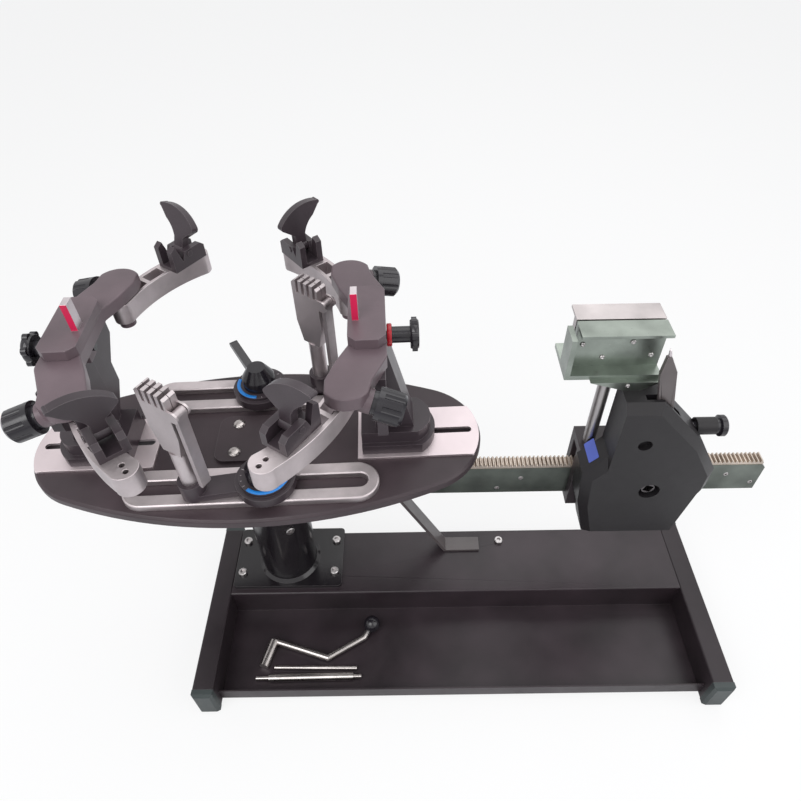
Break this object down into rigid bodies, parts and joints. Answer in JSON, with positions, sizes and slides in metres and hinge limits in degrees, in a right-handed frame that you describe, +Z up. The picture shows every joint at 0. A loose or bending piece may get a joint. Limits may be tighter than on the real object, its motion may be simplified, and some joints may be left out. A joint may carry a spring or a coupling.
{
  "type": "racket stringing machine",
  "caption": "Table-top stringing machine: a tray base with a column, an oval turntable with frame supports and string clamps, and a crank tension head on a rack rail.",
  "frame": {"origin": "middle of the bounding box at the table top the machine stands on", "axes": "+X along the rail towards its free end, +Y to the back, +Z up"},
  "size_m": [0.8049, 0.3451, 0.4964],
  "materials": {
    "black_paint": "satin",
    "black_cast": "satin",
    "steel": "brushed",
    "aluminium": "satin",
    "black_plastic": "matt",
    "knob_plastic": "gloss",
    "cap_plastic": "matt"
  },
  "bodies": {
    "base": {"base_rails": "black_paint", "rail_end_caps": "cap_plastic", "deck_tray": "black_paint", "column": "black_paint", "frame_screws": "steel", "tension_rail": "steel", "rack": "steel", "rail_brace": "steel", "turntable_bearing": "steel"},
    "turntable": {"turntable_plate": "black_paint", "track_plates": "aluminium", "hub_plate": "black_paint", "hub_screws": "steel", "front_glide_bar": "aluminium", "rear_glide_bar": "aluminium"},
    "head": {"head_front_cover": "black_plastic", "head_rear_cover": "black_plastic", "carriage": "black_paint", "gripper": "steel", "spring_tube": "steel"},
    "pinion": {"drive_pinion": "steel"},
    "jaw": {"gripper_jaw": "steel"},
    "brake": {"brake_lever": "steel"},
    "adjuster": {"tension_knob": "knob_plastic"},
    "crank": {"crank": "steel"},
    "thin_rod": {"thin_rod": "steel"},
    "sleeve_rod": {"sleeve_rod": "steel"},
    "left_tower": {"left_tower_base": "black_cast", "left_yoke": "black_cast"},
    "left_support": {"left_centre_support": "black_cast"},
    "left_support_knob": {"left_support_knob": "knob_plastic"},
    "left_front_arm": {"left_front_arm": "aluminium", "left_front_frame_clamp": "black_cast"},
    "left_front_arm_knob": {"left_front_arm_knob": "knob_plastic"},
    "left_front_arm_lever": {"left_front_arm_lever": "black_cast"},
    "left_rear_arm": {"left_rear_arm": "aluminium", "left_rear_frame_clamp": "black_cast"},
    "left_rear_arm_knob": {"left_rear_arm_knob": "knob_plastic"},
    "left_rear_arm_lever": {"left_rear_arm_lever": "black_cast"},
    "right_tower": {"right_tower_base": "black_cast", "right_yoke": "black_cast"},
    "right_support": {"right_centre_support": "black_cast"},
    "right_support_knob": {"right_support_knob": "knob_plastic"},
    "right_front_arm": {"right_front_arm": "aluminium", "right_front_frame_clamp": "black_cast"},
    "right_front_arm_knob": {"right_front_arm_knob": "knob_plastic"},
    "right_front_arm_lever": {"right_front_arm_lever": "black_cast"},
    "right_rear_arm": {"right_rear_arm": "aluminium", "right_rear_frame_clamp": "black_cast"},
    "right_rear_arm_knob": {"right_rear_arm_knob": "knob_plastic"},
    "right_rear_arm_lever": {"right_rear_arm_lever": "black_cast"},
    "front_base": {"front_clamp_base": "black_cast"},
    "front_lock": {"front_lock_knob": "knob_plastic"},
    "front_clamp": {"front_string_clamp": "aluminium"},
    "front_handle": {"front_clamp_handle": "steel"},
    "rear_base": {"rear_clamp_base": "black_cast"},
    "rear_lock": {"rear_lock_knob": "knob_plastic"},
    "rear_clamp": {"rear_string_clamp": "aluminium"},
    "rear_handle": {"rear_clamp_handle": "steel"}
  },
  "joints": [
    {"name": "turntable_spin", "type": "hinge", "parent": "base", "child": "turntable", "pos_m": [-0.1626, 0.0076, 0.283], "axis": [0, 0, 1], "continuous": true},
    {"name": "left_tower_slide", "type": "slide", "parent": "turntable", "child": "left_tower", "axis": [-0.9995, -0.0332, 0], "range_m": [-0.01, 0.025]},
    {"name": "left_support_slide", "type": "slide", "parent": "left_tower", "child": "left_support", "axis": [-0.9995, -0.0332, 0], "range_m": [-0.006, 0.006]},
    {"name": "left_support_knob_turn", "type": "hinge", "parent": "left_tower", "child": "left_support_knob", "pos_m": [-0.32201, 0.00231, 0.435], "axis": [-0.9995, -0.0332, 0], "range_deg": [-361, 361]},
    {"name": "left_front_arm_swing", "type": "hinge", "parent": "left_tower", "child": "left_front_arm", "pos_m": [-0.28284, -0.06243, 0.427], "axis": [0, 0, -1], "range_deg": [-4, 8]},
    {"name": "left_front_arm_knob_turn", "type": "hinge", "parent": "left_tower", "child": "left_front_arm_knob", "pos_m": [-0.3051, -0.08518, 0.436], "axis": [-0.9376, -0.232, -0.2588], "range_deg": [-165, 325]},
    {"name": "left_front_arm_lever_turn", "type": "hinge", "parent": "left_front_arm", "child": "left_front_arm_lever", "pos_m": [-0.23984, -0.11766, 0.451], "axis": [-0.7891, -0.6143, 0], "range_deg": [-36, 34]},
    {"name": "left_rear_arm_swing", "type": "hinge", "parent": "left_tower", "child": "left_rear_arm", "pos_m": [-0.28722, 0.0695, 0.427], "axis": [0, 0, 1], "range_deg": [-4, 8]},
    {"name": "left_rear_arm_knob_turn", "type": "hinge", "parent": "left_tower", "child": "left_rear_arm_knob", "pos_m": [-0.31094, 0.09073, 0.436], "axis": [-0.951, 0.1694, -0.2588], "range_deg": [-165, 325]},
    {"name": "left_rear_arm_lever_turn", "type": "hinge", "parent": "left_rear_arm", "child": "left_rear_arm_lever", "pos_m": [-0.23901, 0.14072, 0.451], "axis": [0.8281, -0.5606, 0], "range_deg": [-20, 50]},
    {"name": "right_tower_slide", "type": "slide", "parent": "turntable", "child": "right_tower", "axis": [0.9995, 0.0332, 0], "range_m": [-0.001, 0.04]},
    {"name": "right_support_slide", "type": "slide", "parent": "right_tower", "child": "right_support", "axis": [0.9995, 0.0332, 0], "range_m": [-0.006, 0.006]},
    {"name": "right_support_knob_turn", "type": "hinge", "parent": "right_tower", "child": "right_support_knob", "pos_m": [-0.02068, 0.01231, 0.435], "axis": [0.9995, 0.0332, 0], "range_deg": [-361, 361]},
    {"name": "right_front_arm_swing", "type": "hinge", "parent": "right_tower", "child": "right_front_arm", "pos_m": [-0.05547, -0.05488, 0.427], "axis": [0, 0, 1], "range_deg": [-4, 8]},
    {"name": "right_front_arm_knob_turn", "type": "hinge", "parent": "right_tower", "child": "right_front_arm_knob", "pos_m": [-0.03175, -0.07611, 0.436], "axis": [0.951, -0.1694, -0.2588], "range_deg": [-165, 325]},
    {"name": "right_front_arm_lever_turn", "type": "hinge", "parent": "right_front_arm", "child": "right_front_arm_lever", "pos_m": [-0.09471, -0.11285, 0.451], "axis": [-0.8281, 0.5606, 0], "range_deg": [-45, 25]},
    {"name": "right_rear_arm_swing", "type": "hinge", "parent": "right_tower", "child": "right_rear_arm", "pos_m": [-0.05985, 0.07705, 0.427], "axis": [0, 0, -1], "range_deg": [-4, 8]},
    {"name": "right_rear_arm_knob_turn", "type": "hinge", "parent": "right_tower", "child": "right_rear_arm_knob", "pos_m": [-0.03759, 0.09979, 0.436], "axis": [0.9376, 0.232, -0.2588], "range_deg": [-165, 325]},
    {"name": "right_rear_arm_lever_turn", "type": "hinge", "parent": "right_rear_arm", "child": "right_rear_arm_lever", "pos_m": [-0.11267, 0.14491, 0.451], "axis": [0.7891, 0.6143, 0], "range_deg": [-36, 34]},
    {"name": "front_base_slide", "type": "slide", "parent": "turntable", "child": "front_base", "axis": [0.9995, 0.0332, 0], "range_m": [-0.015, 0.06]},
    {"name": "front_lock_turn", "type": "hinge", "parent": "front_base", "child": "front_lock", "pos_m": [-0.14442, -0.05783, 0.3241], "axis": [0, 0, 1], "range_deg": [-30, 60]},
    {"name": "front_clamp_turn", "type": "hinge", "parent": "front_base", "child": "front_clamp", "pos_m": [-0.21358, -0.06866, 0.34], "axis": [0, 0, 1], "range_deg": [-45, 60]},
    {"name": "front_handle_turn", "type": "hinge", "parent": "front_clamp", "child": "front_handle", "pos_m": [-0.19454, -0.0797, 0.43], "axis": [-0.5015, -0.8652, 0], "range_deg": [0, 35]},
    {"name": "rear_base_slide", "type": "slide", "parent": "turntable", "child": "rear_base", "axis": [0.9995, 0.0332, 0], "range_m": [-0.06, 0]},
    {"name": "rear_lock_turn", "type": "hinge", "parent": "rear_base", "child": "rear_lock", "pos_m": [-0.16879, 0.07343, 0.3241], "axis": [0, 0, 1], "range_deg": [-30, 60]},
    {"name": "rear_clamp_turn", "type": "hinge", "parent": "rear_base", "child": "rear_clamp", "pos_m": [-0.09929, 0.08184, 0.34], "axis": [0, 0, 1], "range_deg": [-90, 0]},
    {"name": "rear_handle_turn", "type": "hinge", "parent": "rear_clamp", "child": "rear_handle", "pos_m": [-0.08152, 0.06888, 0.43], "axis": [-0.5892, -0.808, 0], "range_deg": [0, 24]},
    {"name": "head_slide", "type": "slide", "parent": "base", "child": "head", "axis": [1, 0, 0], "range_m": [-0.06, 0.08]},
    {"name": "pinion_turn", "type": "hinge", "parent": "head", "child": "pinion", "pos_m": [0.2524, 0.0076, 0.2635], "axis": [0, 1, 0], "range_deg": [-290, 385]},
    {"name": "jaw_slide", "type": "slide", "parent": "head", "child": "jaw", "axis": [0, 1, 0], "range_m": [-0.002, 0.003]},
    {"name": "brake_turn", "type": "hinge", "parent": "head", "child": "brake", "pos_m": [0.2494, -0.0309, 0.345], "axis": [0, 1, 0], "range_deg": [-6, 8]},
    {"name": "tension_knob_turn", "type": "hinge", "parent": "head", "child": "adjuster", "pos_m": [0.3074, -0.0184, 0.335], "axis": [1, 0, 0], "range_deg": [-180, 180]},
    {"name": "crank_lift", "type": "slide", "parent": "base", "child": "crank", "axis": [0, 0, 1], "range_m": [0, 0.15]},
    {"name": "thin_rod_lift", "type": "slide", "parent": "base", "child": "thin_rod", "axis": [0, 0, 1], "range_m": [0, 0.15]},
    {"name": "sleeve_rod_lift", "type": "slide", "parent": "base", "child": "sleeve_rod", "axis": [0, 0, 1], "range_m": [0, 0.15]}
  ],
  "couplings": [
    {"joint": "left_support_knob_turn", "follows": "left_support_slide", "rad_per_m": 1047.2},
    {"joint": "left_front_arm_knob_turn", "follows": "left_front_arm_swing", "ratio": 40},
    {"joint": "left_rear_arm_knob_turn", "follows": "left_rear_arm_swing", "ratio": 40},
    {"joint": "right_support_knob_turn", "follows": "right_support_slide", "rad_per_m": 1047.2},
    {"joint": "right_front_arm_knob_turn", "follows": "right_front_arm_swing", "ratio": 40},
    {"joint": "right_rear_arm_knob_turn", "follows": "right_rear_arm_swing", "ratio": 40},
    {"joint": "pinion_turn", "follows": "head_slide", "rad_per_m": 83.333}
  ]
}
